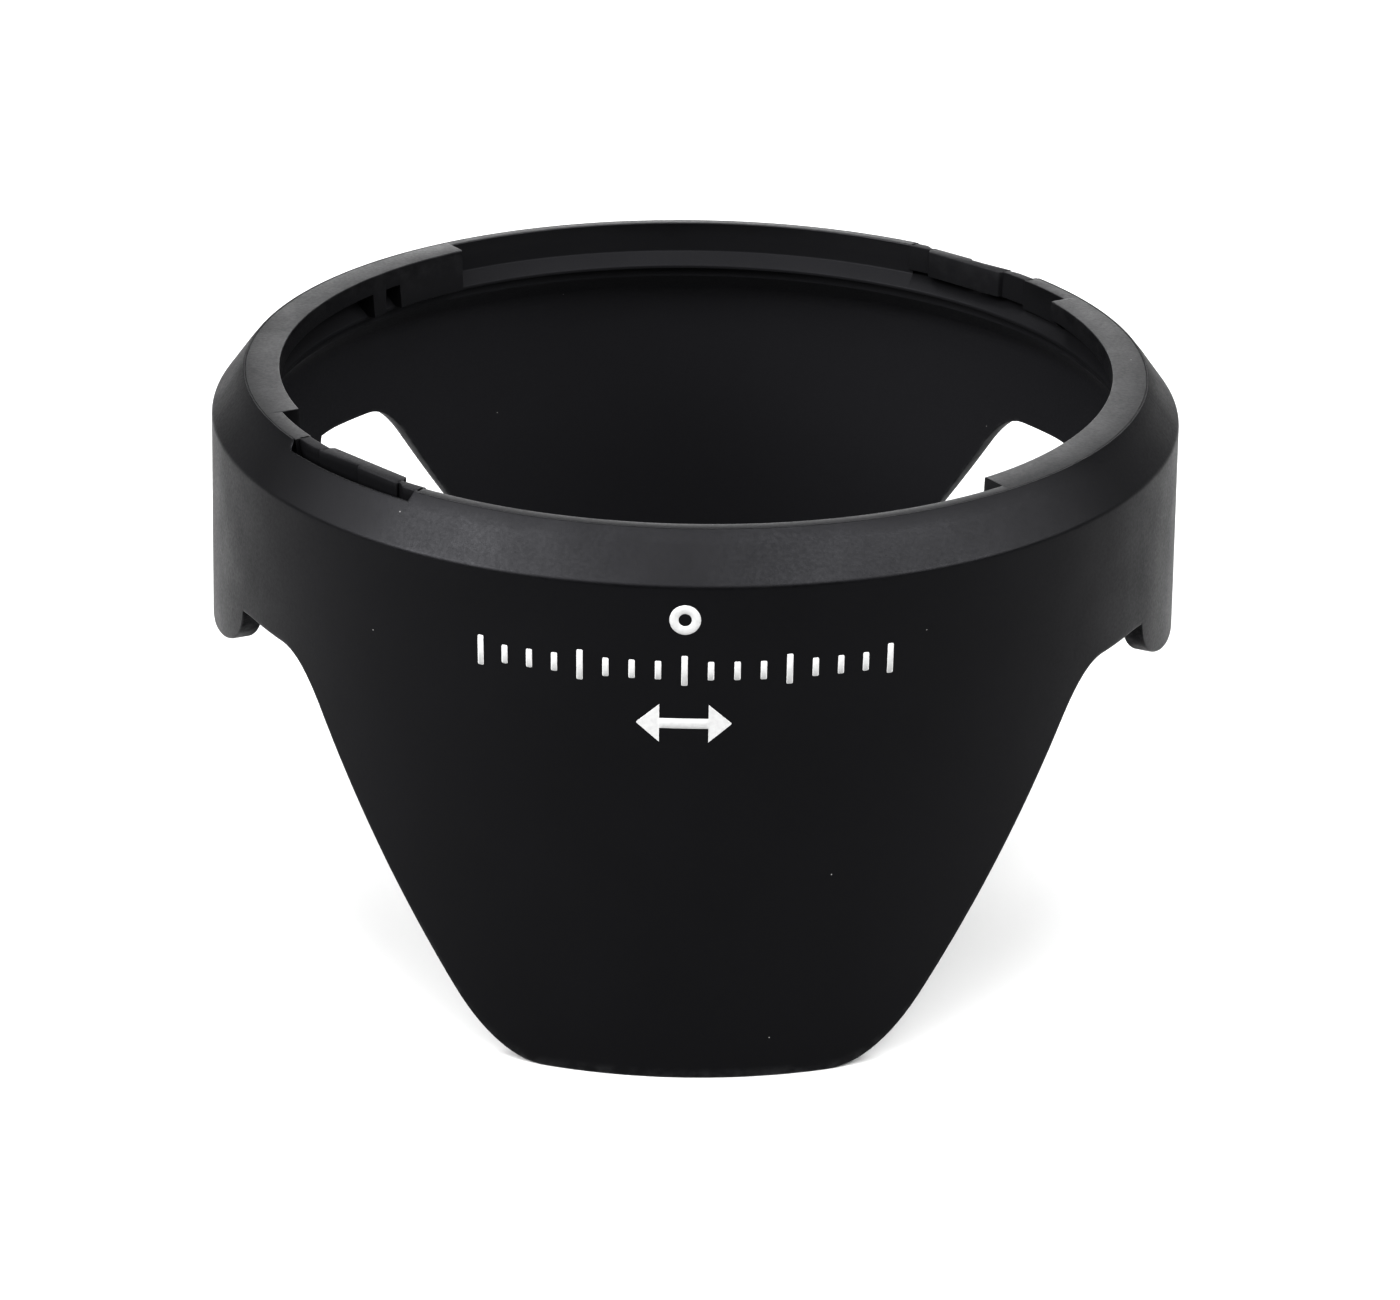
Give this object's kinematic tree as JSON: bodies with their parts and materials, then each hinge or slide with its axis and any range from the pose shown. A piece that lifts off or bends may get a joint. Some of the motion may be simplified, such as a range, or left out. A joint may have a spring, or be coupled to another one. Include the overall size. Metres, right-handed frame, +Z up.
{
  "type": "petal lens hood",
  "caption": "Black petal lens hood with a chamfered mount end, bayonet lugs, sprung detent tongues and white printed marks, standing on its long petals.",
  "frame": {"origin": "middle of the plane that the two long petal tips stand on", "axes": "+Z up the optical axis to the mount face, -Y towards the front with the printed index ring, +X to the right seen from the front"},
  "size_m": [0.0738, 0.0758, 0.0392],
  "materials": {
    "shell_black": "fine satin grain, slightly glossier on worn edges",
    "ring_black": "satin, smoother on the flat mount face",
    "white_ink": "matt pad-printed ink"
  },
  "bodies": {
    "hood": {"petal_shell": "shell_black", "bayonet_ring": "ring_black", "long_flex_arm_right": "ring_black", "short_flex_arm_right": "ring_black", "long_flex_arm_left": "ring_black", "short_flex_arm_left": "ring_black", "index_ring_mark": "white_ink", "scale_tick_01": "white_ink", "scale_tick_02": "white_ink", "scale_tick_03": "white_ink", "scale_tick_04": "white_ink", "scale_tick_05": "white_ink", "scale_tick_06": "white_ink", "scale_tick_07": "white_ink", "scale_tick_08": "white_ink", "scale_tick_09": "white_ink", "scale_tick_10": "white_ink", "scale_tick_11": "white_ink", "scale_tick_12": "white_ink", "scale_tick_13": "white_ink", "scale_tick_14": "white_ink", "scale_tick_15": "white_ink", "scale_tick_16": "white_ink", "scale_tick_17": "white_ink", "twist_arrow_mark": "white_ink"},
    "tongue_right": {"detent_tongue_right": "ring_black"},
    "tongue_left": {"detent_tongue_left": "ring_black"}
  },
  "joints": [
    {"name": "tongue_right_spring", "type": "slide", "parent": "hood", "child": "tongue_right", "axis": [0.6903, 0.7236, 0], "range_m": [0, 0.0005], "stiffness_N_per_m": 9000},
    {"name": "tongue_left_spring", "type": "slide", "parent": "hood", "child": "tongue_left", "axis": [-0.6903, -0.7236, 0], "range_m": [0, 0.0005], "stiffness_N_per_m": 9000}
  ]
}
